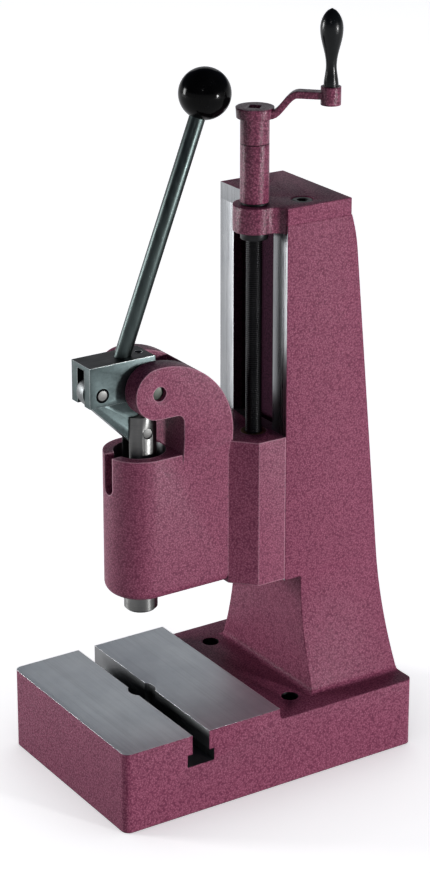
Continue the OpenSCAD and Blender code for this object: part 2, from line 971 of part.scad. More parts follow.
module hub_set_screw() {
    sunk = 0.6;
    socket_d = 0.55 * set_screw_d;
    screw_z = pivot_pin_d / 2;
    color(bright_steel)
        on_lever()
            difference() {
                translate([0, 0, screw_z])
                    cylinder(d = set_screw_d, h = hub_above - sunk - screw_z);
                translate([0, 0, hub_above - sunk - socket_d])
                    cylinder(d = socket_d, h = knob_d, $fn = 6);
            }
}

// Link and ram. The link's ram end is open round the path that its pin takes.

module on_link() {
    on_knee()
        rotate([link_angle(rest_turn), 0, 0])
            children();
}

module pin_path_2d(r) {
    hull()
        for (p = pin_path)
            translate([p[1], -link_l - p[0]])
                circle(r, $fn = 32);
}

module toggle_link() {
    pin_room = ram_pin_d / 2 + side_gap;
    color(blued_steel)
        on_link()
            difference() {
                along_x(link_t)
                    hull() {
                        circle(link_eye_r, $fn = 64);
                        translate([0, -link_l])
                            circle(link_end_r, $fn = 64);
                        pin_path_2d(pin_room + link_wall);
                    }
                along_x(link_t + over)
                    pin_path_2d(pin_room);
                cross_pin(knee_pin_d + 2 * link_bush_wall + 2 * seat_fit, link_t + over);
            }
}

module link_bush() {
    color(bronze)
        on_link()
            difference() {
                cross_pin(knee_pin_d + 2 * link_bush_wall, link_t);
                cross_pin(knee_pin_d + 2 * run_fit, link_t + over);
            }
}

module ram() {
    color(bright_steel)
        difference() {
            translate([0, tool_y, 0])
                rotate_extrude()
                    polygon([
                        [0, ram_end],
                        [ram_d / 2 - ram_chamfer, ram_end],
                        [ram_d / 2, ram_end + ram_chamfer],
                        [ram_d / 2, ram_pin_z + ram_top],
                        [0, ram_pin_z + ram_top]
                    ]);
            translate([-clevis_w / 2, tool_y - ram_d, ram_pin_z - clevis_depth])
                cube([clevis_w, 2 * ram_d, clevis_depth + ram_top + over]);
            translate([0, tool_y, ram_pin_z])
                cross_pin(ram_pin_d + 2 * seat_fit, ram_d + over);
            translate([0, tool_y, ram_end - over])
                cylinder(d = tool_bore_d, h = tool_bore_l + over);
        }
}

module ram_pin() {
    inset = 0.7;
    color(bright_steel)
        translate([0, tool_y, ram_pin_z])
            cross_pin(ram_pin_d, ram_d - 2 * inset);
}

// Spindle and crank

module spindle() {
    color(dark_steel)
        translate([spindle_x, spindle_y, 0])
            union() {
                translate([0, 0, spindle_start])
                    cylinder(d = spindle_d, h = crank_z - spindle_start);
                rotate(crank_dir)
                    translate([-square_w / 2 + run_fit, -square_w / 2 + run_fit, sleeve_z])
                        cube([square_w - 2 * run_fit, square_w - 2 * run_fit, spindle_end - sleeve_z]);
            }
}

module ring(outer_d, h) {
    difference() {
        cylinder(d = outer_d, h = h);
        translate([0, 0, -over])
            cylinder(d = spindle_d + 2 * seat_fit, h = h + 2 * over);
    }
}

module spindle_collar() {
    color(dark_steel)
        translate([spindle_x, spindle_y, collar_top - collar_h])
            ring(collar_d, collar_h);
}

module thrust_washer() {
    color(dark_steel)
        translate([spindle_x, spindle_y, plate_top + side_gap])
            ring(sleeve_d - 1, washer_t);
}

module spindle_sleeve() {
    color(paint)
        translate([spindle_x, spindle_y, sleeve_z])
            ring(sleeve_d, sleeve_l);
}

// The arm rises in an S from the crank's head to the grip boss
// Arm of the crank: an even band with a bend upwards, tapered in the view from above
module crank_arm() {
    steps = 24;
    rise_to = 0.46;
    start = crank_head_d / 2 - 2;
    reach = crank_r - start;
    end_w = grip_boss_d * 0.6;
    function bend(s) = s > rise_to ? 180 : 180 * s / rise_to;
    function middle(s) = [start + s * reach, crank_head_z + arm_t / 2 + arm_rise * (1 - cos(bend(s))) / 2];
    function slope(s) = arm_rise / reach * PI / (2 * rise_to) * sin(bend(s));
    function half(s) = [-slope(s), 1] * arm_t / 2 / sqrt(1 + pow(slope(s), 2));
    intersection() {
        along_y(-arm_w, arm_w)
            polygon(concat(
                [for (i = [0:steps]) middle(i / steps) + half(i / steps)],
                [for (i = [steps:-1:0]) middle(i / steps) - half(i / steps)]
            ));
        translate([0, 0, crank_z])
            linear_extrude(crank_head_h + neck_h + arm_rise + arm_t)
                polygon([
                    [0, -arm_w / 2],
                    [start, -arm_w / 2],
                    [crank_r, -end_w / 2],
                    [crank_r, end_w / 2],
                    [start, arm_w / 2],
                    [0, arm_w / 2]
                ]);
    }
}

module crank() {
    neck_clear = 0.05;
    color(paint)
        translate([spindle_x, spindle_y, 0])
            rotate(crank_dir)
                difference() {
                    union() {
                        translate([0, 0, crank_z])
                            cylinder(d = sleeve_d, h = neck_h);
                        translate([0, 0, crank_head_z])
                            cylinder(d1 = crank_head_d - 1, d2 = crank_head_d, h = crank_head_h);
                        crank_arm();
                        translate([crank_r, 0, grip_boss_z])
                            cylinder(d = grip_boss_d, h = grip_boss_h);
                    }
                    translate([0, 0, (crank_z + crank_top) / 2])
                        cube([square_w + neck_clear, square_w + neck_clear, 2 * neck_h + 2 * crank_head_h],
                            center = true);
                    translate([crank_r, 0, grip_boss_z - over])
                        cylinder(d = grip_axle_d + 2 * seat_fit, h = grip_boss_h + 2 * over);
                }
}

module on_grip() {
    translate([spindle_x, spindle_y, 0])
        rotate(crank_dir)
            translate([crank_r, 0, 0])
                children();
}

module grip_axle() {
    color(dark_steel)
        on_grip()
            translate([0, 0, grip_boss_z])
                cylinder(d = grip_axle_d, h = grip_z - grip_boss_z + grip_axle_l - side_gap);
}

// Radius of the grip at a share of its length: foot, waist, belly and round tip
function grip_radius(s) =
    let (waist = 0.26, belly = 0.74, foot_r = grip_d * 0.325)
    s < waist ?
        foot_r + (grip_waist_d / 2 - foot_r) * (1 - cos(180 * s / waist)) / 2 :
    s < belly ?
        grip_waist_d / 2 + (grip_d - grip_waist_d) / 2 * (1 - cos(180 * (s - waist) / (belly - waist))) / 2 :
        grip_d / 2 * pow(max(0, 1 - pow((s - belly) / (1 - belly), 2)), 0.66);

module crank_grip() {
    steps = 36;
    color(black_resin)
        on_grip()
            translate([0, 0, grip_z])
                difference() {
                    rotate_extrude()
                        polygon(concat(
                            [[0, 0]],
                            [for (i = [0:steps]) [grip_radius(i / steps), grip_l * i / steps]]
                        ));
                    translate([0, 0, -over])
                        cylinder(r = grip_axle_d / 2 + run_fit, h = grip_axle_l + over);
                }
}

frame_casting();
top_plate();
top_plate_screws();
spindle_bush();
head_casting();
spindle_nut();
guide_plate();
guide_plate_screws();
toggle_hub();
lever_rod();
ball_knob();
pivot_pin();
knee_pin();
hub_set_screw();
toggle_link();
link_bush();
ram();
ram_pin();
spindle();
spindle_collar();
thrust_washer();
spindle_sleeve();
crank();
grip_axle();
crank_grip();
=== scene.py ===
"""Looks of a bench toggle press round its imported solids: paint, steel, thread, light and camera."""

import json
import math

import bpy
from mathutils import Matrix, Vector


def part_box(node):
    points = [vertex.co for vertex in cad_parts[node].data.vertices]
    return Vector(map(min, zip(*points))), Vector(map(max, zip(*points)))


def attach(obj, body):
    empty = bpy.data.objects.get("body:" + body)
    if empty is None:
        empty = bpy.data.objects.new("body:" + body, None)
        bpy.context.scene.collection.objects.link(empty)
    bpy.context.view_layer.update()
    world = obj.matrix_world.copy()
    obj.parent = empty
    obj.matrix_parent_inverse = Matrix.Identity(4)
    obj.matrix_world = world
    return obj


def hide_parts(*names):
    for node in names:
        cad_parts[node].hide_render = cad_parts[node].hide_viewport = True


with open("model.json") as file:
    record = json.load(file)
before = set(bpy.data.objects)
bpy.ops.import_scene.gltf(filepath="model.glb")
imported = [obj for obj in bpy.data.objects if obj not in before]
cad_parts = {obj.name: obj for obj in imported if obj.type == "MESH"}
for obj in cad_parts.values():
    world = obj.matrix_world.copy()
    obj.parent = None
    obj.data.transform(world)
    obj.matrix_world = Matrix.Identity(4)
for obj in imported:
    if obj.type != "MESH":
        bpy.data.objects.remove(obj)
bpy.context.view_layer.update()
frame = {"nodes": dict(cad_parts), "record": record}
nodes = frame["nodes"]

MM = 0.001

# The table, its bore and the bench holes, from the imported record
BORE_MARGIN = 0.25 * MM
BOLT_MARGIN = 1.5 * MM
mounts = {mount["name"]: mount for mount in frame["record"]["mounts"]}
table_bore = mounts["table_bore"]
bench_bolts = mounts["bench_bolts"]
TOOL_Y = mounts["table_t_slot"]["pos_m"][1]
TABLE_Z = mounts["table_t_slot"]["pos_m"][2]
TABLE_BORE_REACH = table_bore["dims"]["r_mm"] * MM + BORE_MARGIN
SLOT_FLOOR_Z = table_bore["pos_m"][2] + table_bore["dims"]["length_mm"] / 2 * MM
BOLT_X = bench_bolts["dims"]["spacing_x_mm"] / 2 * MM
BOLT_Y = bench_bolts["pos_m"][1]
BOLT_REACH = bench_bolts["dims"]["hole_r_mm"] * MM + BOLT_MARGIN

# Other places in the solids that the finishes depend on, in metres
TABLE_END_Y = 4.5 * MM
SLOT_HALF = 9.6 * MM
SLIDE_Y = 29.0 * MM
SLIDE_Z = 120.5 * MM
CHANNEL_HALF = 31.0 * MM
CHANNEL_DEPTH = 24.0 * MM
BARE_PLATE_END_X = 6.0 * MM
BARREL_BORE_REACH = 16.2 * MM
BARREL_BORE_TOP_Z = 215.0 * MM
HEAD_BACK_REACH = 0.3 * MM
PIN_RING_REACH = 5.5 * MM
HUB_CHANNEL_HALF = 6.0 * MM
LINK_EYE_REACH = 10.5 * MM
TOUCH = 0.15 * MM
# Part of a face's normal along an axis from which the face counts as square to it
SQUARE = 0.9
SLOT_END_SQUARE = 0.95
EYE_FORWARD = 0.25
EYE_SIDEWAYS = 0.5
knee_low, knee_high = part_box("knee_pin")
knee = (knee_low + knee_high) / 2

# Depths and reaches of the finishes, in metres, the scales of their noise and the tones of painted edge
# highlights
PAINT_RELIEF = 0.22 * MM
PAINT_EDGE = 1.4 * MM
GRINDING_RELIEF = 0.04 * MM
TOOL_RELIEF = 0.03 * MM
NOOK_REACH = 4.0 * MM
PATCH_SCALE = 90.0
SWELL_SCALE = 45.0
RIM_HIGHLIGHT_TONE = (0.62, 0.34, 0.42)
EDGE_HIGHLIGHT_TONE = (0.96, 0.965, 0.97)
# Where the rounded normal counts as turned over or flat, and a point as in a nook or outside
EDGE_TURN = 0.88
FLAT_TURN = 0.995
NOOK_OPENNESS = 0.72
OUTSIDE_OPENNESS = 0.92


class Shader:
    """One material with short calls for the nodes that the finishes here share."""

    def __init__(self, name, roughness=0.5, metallic=0.0):
        self.material = bpy.data.materials.new(name)
        self.material.use_nodes = True
        self.tree = self.material.node_tree
        self.tree.nodes.clear()
        self.surface = self.add("ShaderNodeBsdfPrincipled")
        output = self.add("ShaderNodeOutputMaterial")
        self.link(self.surface.outputs["BSDF"], output.inputs["Surface"])
        self.surface.inputs["Roughness"].default_value = roughness
        self.surface.inputs["Metallic"].default_value = metallic
        self.place = self.add("ShaderNodeTexCoord").outputs["Object"]

    def add(self, kind, **settings):
        made = self.tree.nodes.new(kind)
        for key, value in settings.items():
            setattr(made, key, value)
        return made

    def link(self, source, target):
        self.tree.links.new(source, target)

    def set(self, socket, value):
        self.surface.inputs[socket].default_value = value

    def feed(self, socket, source):
        self.link(source, self.surface.inputs[socket])

    def stretched(self, scale):
        mapping = self.add("ShaderNodeMapping")
        mapping.inputs["Scale"].default_value = scale
        self.link(self.place, mapping.inputs["Vector"])
        return mapping.outputs["Vector"]

    def noise(self, scale, detail=2.0, rough=0.5, vector=None):
        made = self.add("ShaderNodeTexNoise")
        made.inputs["Scale"].default_value = scale
        made.inputs["Detail"].default_value = detail
        made.inputs["Roughness"].default_value = rough
        self.link(self.place if vector is None else vector, made.inputs["Vector"])
        return made.outputs["Fac"]

    def cells(self, scale, smooth):
        made = self.add("ShaderNodeTexVoronoi", feature="SMOOTH_F1")
        made.inputs["Scale"].default_value = scale
        made.inputs["Smoothness"].default_value = smooth
        made.inputs["Randomness"].default_value = 1.0
        self.link(self.place, made.inputs["Vector"])
        return made.outputs["Distance"]

    def ramp(self, source, stops):
        made = self.add("ShaderNodeValToRGB")
        elements = made.color_ramp.elements
        while len(elements) < len(stops):
            elements.new(0.5)
        for element, (place, colour) in zip(elements, stops):
            element.position = place
            element.color = (*colour, 1.0)
        self.link(source, made.inputs["Fac"])
        return made.outputs["Color"]

    def span(self, source, low, high, from_low=0.0, from_high=1.0):
        made = self.add("ShaderNodeMapRange")
        made.inputs["From Min"].default_value = from_low
        made.inputs["From Max"].default_value = from_high
        made.inputs["To Min"].default_value = low
        made.inputs["To Max"].default_value = high
        self.link(source, made.inputs["Value"])
        return made.outputs["Result"]

    def math(self, operation, a, b):
        made = self.add("ShaderNodeMath", operation=operation)
        for socket, value in zip(made.inputs, (a, b)):
            if isinstance(value, (int, float)):
                socket.default_value = value
            else:
                self.link(value, socket)
        return made.outputs["Value"]

    def mix(self, share, a, b, blend="MIX"):
        """Mixes two colours; the node takes them in its sockets 6 and 7 and gives the result in 2."""
        made = self.add("ShaderNodeMix", data_type="RGBA", blend_type=blend)
        for socket, value in ((made.inputs[0], share), (made.inputs[6], a), (made.inputs[7], b)):
            if isinstance(value, (int, float)):
                socket.default_value = value
            elif isinstance(value, tuple):
                socket.default_value = (*value, 1.0)
            else:
                self.link(value, socket)
        return made.outputs[2]

    def spread_upright(self, amount):
        """Draws highlights out along the upright, as turning marks and runs of enamel do."""
        upright = self.add("ShaderNodeCombineXYZ")
        upright.inputs["Z"].default_value = 1.0
        self.feed("Tangent", upright.outputs["Vector"])
        self.set("Anisotropic", amount)

    def rounded(self, radius):
        """The normal of the surface with its edges rounded over."""
        made = self.add("ShaderNodeBevel", samples=6)
        made.inputs["Radius"].default_value = radius
        return made.outputs["Normal"]

    def edge_share(self, rounded):
        """How far an outer edge turns over at a point; edges in nooks count for nothing."""
        flat = self.add("ShaderNodeNewGeometry")
        turn = self.add("ShaderNodeVectorMath", operation="DOT_PRODUCT")
        self.link(flat.outputs["Normal"], turn.inputs[0])
        self.link(rounded, turn.inputs[1])
        turned = self.span(turn.outputs["Value"], 1.0, 0.0, EDGE_TURN, FLAT_TURN)
        nook = self.add("ShaderNodeAmbientOcclusion", samples=8, only_local=True)
        nook.inputs["Distance"].default_value = NOOK_REACH
        outside = self.span(nook.outputs["AO"], 0.0, 1.0, NOOK_OPENNESS, OUTSIDE_OPENNESS)
        return self.math("MULTIPLY", turned, outside)

    def bump(self, height, depth, strength=1.0, below=None):
        made = self.add("ShaderNodeBump")
        made.inputs["Distance"].default_value = depth
        made.inputs["Strength"].default_value = strength
        self.link(height, made.inputs["Height"])
        if below is not None:
            self.link(below, made.inputs["Normal"])
        self.feed("Normal", made.outputs["Normal"])
        return made.outputs["Normal"]


def hammertone(name, tones, cell, gloss, specular, coat, spread=0.0, rim_highlight=0.0):
    """Hammered enamel in dark, middle and pale tones; the rim share pales its outer edges as a painted
    highlight.
    """
    deep, main, light = tones
    s = Shader(name, roughness=0.42)
    wander = s.noise(PATCH_SCALE, 2.0)
    cell_rise = s.cells(cell, 0.35)
    fine = s.noise(cell * 2.2, 2.0, 0.6)
    height = s.math("SUBTRACT", s.math("MULTIPLY", fine, 0.6), cell_rise)
    tone = s.span(height, 0.0, 1.0, -0.5, 0.22)
    speckle = s.ramp(tone, ((0.0, deep), (0.5, main), (1.0, light)))
    patches = s.span(wander, 0.0, 1.0, 0.35, 0.65)
    broad = s.ramp(patches, ((0.0, (0.97, 0.97, 0.97)), (1.0, (1.02, 1.02, 1.02))))
    rounded = s.rounded(PAINT_EDGE)
    surface = s.mix(1.0, speckle, broad, "MULTIPLY")
    # Painted highlight: outer edges turn pale pink by how far they turn over, nooks excepted
    if rim_highlight:
        surface = s.mix(s.math("MULTIPLY", s.edge_share(rounded), rim_highlight), surface, RIM_HIGHLIGHT_TONE)
    s.feed("Base Color", surface)
    s.feed("Roughness", s.span(tone, gloss + 0.16, gloss))
    s.set("Specular IOR Level", specular)
    s.spread_upright(spread)
    s.set("Coat Weight", coat)
    s.set("Coat Roughness", 0.1)
    swell = s.math("MULTIPLY", s.noise(SWELL_SCALE, 2.0), 0.8)
    dimples = s.bump(s.math("ADD", tone, swell), PAINT_RELIEF, 0.55, rounded)
    s.feed("Coat Normal", dimples)
    return s.material


def ground_steel(name, colour, across, rough=0.34, line=1500.0, stain=0.14, highlight_reach=0.0):
    """Ground steel with lines counted along the axis across; the last argument is how far a painted
    highlight reaches in from its edges.
    """
    s = Shader(name, roughness=rough, metallic=1.0)
    scale = [line * 0.012] * 3
    scale[across] = line
    lines = s.noise(1.0, 3.0, 0.65, s.stretched(scale))
    scale = [line * 0.004] * 3
    scale[across] = line * 0.22
    bands = s.noise(1.0, 2.0, 0.5, s.stretched(scale))
    cloud = s.noise(28.0, 4.0, 0.6)
    dark = tuple(c * (1.0 - 2.2 * stain) for c in colour)
    pale = tuple(min(1.0, c * (1.0 + stain)) for c in colour)
    tone = s.math("ADD", s.math("MULTIPLY", lines, 0.5), s.math("MULTIPLY", bands, 0.5))
    grain = s.ramp(tone, ((0.3, dark), (0.5, colour), (0.72, pale)))
    stains = s.span(cloud, 0.0, 1.0, 0.3, 0.7)
    mottled = s.ramp(stains, ((0.0, (0.86, 0.87, 0.88)), (1.0, (1.05, 1.05, 1.04))))
    surface = s.mix(1.0, grain, mottled, "MULTIPLY")
    rounded = None
    # Painted highlight: a pale line along the outer edges
    if highlight_reach:
        rounded = s.rounded(highlight_reach)
        surface = s.mix(s.edge_share(rounded), surface, EDGE_HIGHLIGHT_TONE)
    s.feed("Base Color", surface)
    s.feed("Roughness", s.span(lines, rough - 0.07, rough + 0.1, 0.3, 0.7))
    s.bump(lines, GRINDING_RELIEF, 0.6, rounded)
    return s.material


def satin_steel(name, colour, rough, cloud_scale=60.0, scratch=(300.0, 300.0, 25.0)):
    """Drawn, milled or blackened steel: a cloudy oxide film with faint tool lines."""
    s = Shader(name, roughness=rough, metallic=1.0)
    lines = s.noise(1.0, 3.0, 0.6, s.stretched(scratch))
    cloud = s.noise(cloud_scale, 4.0, 0.6)
    dark = tuple(c * 0.72 for c in colour)
    pale = tuple(min(1.0, c * 1.2) for c in colour)
    tone = s.math("ADD", s.math("MULTIPLY", lines, 0.55), s.math("MULTIPLY", cloud, 0.45))
    s.feed("Base Color", s.ramp(tone, ((0.32, dark), (0.52, colour), (0.72, pale))))
    s.feed("Roughness", s.span(tone, rough - 0.06, rough + 0.12, 0.3, 0.7))
    s.bump(lines, TOOL_RELIEF, 0.5)
    return s.material


def turned_metal(name, colour, rough, spread=0.0):
    """Turned metal with a little colour drift; spread is how far the tool's rings draw out a highlight."""
    s = Shader(name, roughness=rough, metallic=1.0)
    rings = s.noise(1.0, 2.0, 0.6, s.stretched((90.0, 90.0, 2600.0)))
    cloud = s.noise(140.0, 3.0)
    dark = tuple(c * 0.78 for c in colour)
    pale = tuple(min(1.0, c * 1.12) for c in colour)
    tone = s.math("ADD", s.math("MULTIPLY", rings, 0.6), s.math("MULTIPLY", cloud, 0.4))
    s.feed("Base Color", s.ramp(tone, ((0.3, dark), (0.5, colour), (0.7, pale))))
    s.feed("Roughness", s.span(rings, rough - 0.05, rough + 0.1, 0.3, 0.7))
    s.bump(rings, TOOL_RELIEF, 0.5)
    s.spread_upright(spread)
    return s.material


def black_resin(name, colour, gloss, specular):
    """Moulded black resin with a faint orange-peel surface and handling marks."""
    s = Shader(name, roughness=gloss)
    marks = s.noise(120.0, 5.0, 0.65)
    s.feed("Base Color", s.ramp(marks, ((0.3, colour), (0.75, tuple(c * 2.5 for c in colour)))))
    s.feed("Roughness", s.span(marks, gloss - 0.06, gloss + 0.06, 0.4, 0.75))
    s.set("Specular IOR Level", specular)
    s.bump(s.noise(260.0, 2.0), TOOL_RELIEF, 0.25)
    return s.material


PAINT_TONES = ((0.128, 0.025, 0.056), (0.207, 0.050, 0.094), (0.325, 0.105, 0.166))
GLOSS_TONES = ((0.085, 0.014, 0.036), (0.165, 0.033, 0.07), (0.3, 0.09, 0.15))
PAINTED_SHADE_TONES = ((0.014, 0.003, 0.009), (0.028, 0.006, 0.017), (0.05, 0.013, 0.03))
ALONG_X = 0
ALONG_Y = 1
MILLED_ALONG_X = (40.0, 500.0, 700.0)
MILLED_ALONG_Y = (500.0, 40.0, 700.0)

paint = hammertone("paint_hammertone", PAINT_TONES, cell=900.0, gloss=0.42, specular=0.11, coat=0.02)
# Painted highlight along the head casting's outer edges
rim_highlight_paint = hammertone(
    "paint_hammertone_rim_highlight", PAINT_TONES, cell=900.0, gloss=0.42, specular=0.2, coat=0.03, rim_highlight=0.75
)
gloss_paint = hammertone(
    "paint_hammertone_gloss", GLOSS_TONES, cell=850.0, gloss=0.3, specular=0.34, coat=0.03, spread=0.9
)
# Painted shade: near-black paint for the inside of the column's guide channel, drawn as dark as it lies in
# shadow
painted_shade_paint = hammertone(
    "paint_hammertone_painted_shade", PAINTED_SHADE_TONES, cell=1000.0, gloss=0.45, specular=0.03, coat=0.0
)
table_steel = ground_steel(
    "steel_table", (0.645, 0.678, 0.69), ALONG_Y, rough=0.5, line=2600.0, stain=0.07, highlight_reach=0.9 * MM
)
slide_steel = ground_steel("steel_slideway", (0.245, 0.25, 0.26), ALONG_X, rough=0.3)
slot_steel = ground_steel("steel_slot", (0.16, 0.165, 0.17), ALONG_Y, rough=0.42)
hub_steel = satin_steel("steel_hub", (0.06, 0.078, 0.079), rough=0.36, scratch=MILLED_ALONG_X)
# Painted shade: near-black steel for the hub's top, channel and countersinks
hub_painted_shade_steel = satin_steel("steel_hub_painted_shade", (0.012, 0.014, 0.015), rough=0.42, scratch=MILLED_ALONG_Y)
rod_steel = satin_steel("steel_rod", (0.044, 0.056, 0.055), rough=0.34)
# Pale steel for the rounded edges of the hub and link: worn bright, and paler still as a painted highlight
worn_highlight_steel = satin_steel("steel_worn_edge_highlight", (0.34, 0.36, 0.36), rough=0.3)
# Painted highlight: pale steel for the link's round eye
eye_highlight_steel = satin_steel("steel_eye_highlight", (0.12, 0.127, 0.13), rough=0.4)
pivot_steel = satin_steel("steel_pivot", (0.062, 0.068, 0.06), rough=0.45, cloud_scale=420.0)
screw_steel = satin_steel("steel_screw", (0.02, 0.02, 0.021), rough=0.36)
black_steel = satin_steel("steel_black", (0.016, 0.016, 0.017), rough=0.42)
pin_steel = turned_metal("steel_pin", (0.12, 0.12, 0.117), rough=0.46)
ram_steel = turned_metal("steel_ram", (0.145, 0.145, 0.142), rough=0.38, spread=0.85)
bronze = turned_metal("bronze", (0.2, 0.125, 0.05), rough=0.36)
ball_resin = black_resin("resin_ball", (0.0009, 0.0009, 0.001), gloss=0.14, specular=0.06)
grip_resin = black_resin("resin_grip", (0.0015, 0.0019, 0.0022), gloss=0.26, specular=0.17)


def dress(name, main, *others):
    """Gives a node its finish; each of the others is a finish and a test of a face's middle and normal."""
    mesh = nodes[name].data
    mesh.materials.clear()
    mesh.materials.append(main)
    for finish, _ in others:
        mesh.materials.append(finish)
    for face in mesh.polygons:
        face.material_index = 0
        face.use_smooth = True
        for index, (_, test) in enumerate(others):
            if test(face.center, face.normal):
                face.material_index = index + 1


def soften(name, width, angle=38.0):
    """Rounds a node's edges as casting and machining leave them."""
    piece = nodes[name]
    weld = piece.modifiers.new("weld", "WELD")
    weld.merge_threshold = 0.002 * MM
    flats = piece.modifiers.new("flats", "DECIMATE")
    flats.decimate_type = "DISSOLVE"
    flats.angle_limit = math.radians(0.4)
    flats.delimit = {"MATERIAL"}
    bevel = piece.modifiers.new("edges", "BEVEL")
    bevel.width = width * MM
    bevel.segments = 3
    bevel.limit_method = "ANGLE"
    bevel.angle_limit = math.radians(angle)
    bevel.use_clamp_overlap = True
    bevel.harden_normals = True
    bevel.miter_outer = "MITER_ARC"
    return bevel


def on_table(middle, normal):
    at_top = abs(middle.z - TABLE_Z) < TOUCH and middle.y < TABLE_END_Y + TOUCH
    return at_top and normal.z > SQUARE


def in_table_bore(middle):
    return math.hypot(middle.x, middle.y - TOOL_Y) < TABLE_BORE_REACH and abs(middle.z) > TOUCH


def in_slot(middle, normal):
    """The T-slot and the table's bore, without the slot's open ends."""
    between_walls = abs(middle.y - TOOL_Y) < SLOT_HALF
    inside = between_walls and SLOT_FLOOR_Z - TOUCH < middle.z < TABLE_Z - TOUCH
    return (inside and abs(normal.x) < SLOT_END_SQUARE) or in_table_bore(middle)


def on_slide(middle, normal):
    return normal.y < -SQUARE and abs(middle.y - SLIDE_Y) < TOUCH and middle.z > SLIDE_Z - TOUCH


def on_underside(middle, normal):
    return normal.z < -SQUARE and abs(middle.z) < TOUCH


def in_bolt_hole(middle, normal):
    across = math.hypot(abs(middle.x) - BOLT_X, middle.y - BOLT_Y)
    return across < BOLT_REACH and abs(normal.z) < SQUARE


def in_channel(middle, normal):
    """The guide slot in the column and the chamber behind it, which take near-black paint as painted
    shade.
    """
    depth = middle.y - SLIDE_Y
    return abs(middle.x) < CHANNEL_HALF and TOUCH < depth < CHANNEL_DEPTH and middle.z > SLIDE_Z - TOUCH


def bare_plate_edge(middle, normal):
    return normal.y < -SQUARE and abs(middle.y - SLIDE_Y) < TOUCH and middle.x < BARE_PLATE_END_X


def on_boss(middle, normal):
    return middle.y < SLIDE_Y - TOUCH and abs(normal.z) < SQUARE


def in_barrel(middle, normal):
    return math.hypot(middle.x, middle.y - TOOL_Y) < BARREL_BORE_REACH and middle.z < BARREL_BORE_TOP_Z


def on_head_back(middle, normal):
    return middle.y > SLIDE_Y - HEAD_BACK_REACH


def from_knee(middle):
    return math.hypot(middle.y - knee.y, middle.z - knee.z)


def on_hub_painted_shade(middle, normal):
    """The hub's top, its channel and the countersinks round its knee pin, darkened near black as painted
    shade.
    """
    ring = abs(normal.x) < SQUARE and from_knee(middle) < PIN_RING_REACH
    channel = abs(middle.x) < HUB_CHANNEL_HALF and normal.y > -SQUARE
    return normal.z > SQUARE or ring or channel


def on_link_eye(middle, normal):
    """The link's round front, lightened as a painted highlight where it turns in the hub."""
    looks_out = normal.y < -EYE_FORWARD and abs(normal.x) < EYE_SIDEWAYS
    return looks_out and from_knee(middle) < LINK_EYE_REACH


def on_no_face(middle, normal):
    """For a finish that only the rounded edges take."""
    return False


dress("frame_casting", paint, (table_steel, on_table), (slot_steel, in_slot), (slide_steel, on_slide),
      (slot_steel, on_underside), (black_steel, in_bolt_hole), (painted_shade_paint, in_channel))
dress("top_plate", paint, (slide_steel, bare_plate_edge), (gloss_paint, on_boss))
dress("head_casting", rim_highlight_paint, (slot_steel, in_barrel), (slide_steel, on_head_back))
dress("guide_plate", slide_steel)
# Its rounded ends go black: painted shade in the seams against the crank and the washer
dress("spindle_sleeve", gloss_paint, (black_steel, on_no_face))
dress("crank", gloss_paint)
dress("toggle_hub", hub_steel, (hub_painted_shade_steel, on_hub_painted_shade), (worn_highlight_steel, on_no_face))
for face in nodes["toggle_hub"].data.polygons:
    face.use_smooth = face.material_index == 0
dress("toggle_link", hub_steel, (eye_highlight_steel, on_link_eye), (worn_highlight_steel, on_no_face))
for name in ("lever_rod", "grip_axle"):
    dress(name, rod_steel)
# Their rounded ends go black: painted shade in the gap round each pin
for name in ("knee_pin", "ram_pin"):
    dress(name, pin_steel, (black_steel, on_no_face))
dress("pivot_pin", pivot_steel)
for name in ("ram", "hub_set_screw"):
    dress(name, ram_steel)
for name in ("spindle", "spindle_collar"):
    dress(name, screw_steel)
for name in ("top_plate_screws", "guide_plate_screws", "thrust_washer"):
    dress(name, black_steel)
for name in ("spindle_bush", "spindle_nut", "link_bush"):
    dress(name, bronze)
dress("ball_knob", ball_resin)
dress("crank_grip", grip_resin)

# Edges as the foundry and the machine shop leave them, in millimetres
for name, width in (
    ("frame_casting", 1.0), ("head_casting", 1.2), ("top_plate", 0.35), ("crank", 0.7), ("ram", 0.3),
    ("lever_rod", 0.5), ("pivot_pin", 0.5), ("top_plate_screws", 0.4), ("guide_plate_screws", 0.3),
    ("spindle_collar", 0.4), ("thrust_washer", 0.15), ("guide_plate", 0.5), ("spindle_nut", 0.3),
    ("spindle_bush", 0.3), ("link_bush", 0.2), ("hub_set_screw", 0.2), ("grip_axle", 0.3),
):
    soften(name, width)

# Edges that show another finish than the faces: worn bright and paler still as a painted highlight on the
# hub and link, or dark as painted shade in the gap where two pieces meet
for name, width, angle in (
    ("toggle_hub", 0.35, 60.0), ("toggle_link", 0.35, 60.0), ("spindle_sleeve", 0.45, 38.0),
    ("knee_pin", 0.45, 38.0), ("ram_pin", 0.55, 38.0),
):
    soften(name, width, angle).material = len(nodes[name].data.materials) - 1


def mesh_piece(name, points, faces, finish):
    mesh = bpy.data.meshes.new(name)
    mesh.from_pydata(points, [], faces)
    mesh.update()
    mesh.materials.append(finish)
    for face in mesh.polygons:
        face.use_smooth = True
    piece = bpy.data.objects.new(name, mesh)
    bpy.context.scene.collection.objects.link(piece)
    return piece


def ring_points(x, y, z, radius, count, start=0.0):
    points = []
    for k in range(count):
        angle = start + 2.0 * math.pi * k / count
        points.append((x + radius * math.cos(angle), y + radius * math.sin(angle), z))
    return points


def closed_tube(first, rings, around):
    """Faces of a tube with both ends shut, from rings of points that start at the number first."""
    faces = []
    for ring in range(rings - 1):
        for k in range(around):
            a = first + ring * around + k
            b = first + ring * around + (k + 1) % around
            faces.append((a, b, b + around, a + around))
    faces.append(tuple(first + k for k in reversed(range(around))))
    faces.append(tuple(first + (rings - 1) * around + k for k in range(around)))
    return faces


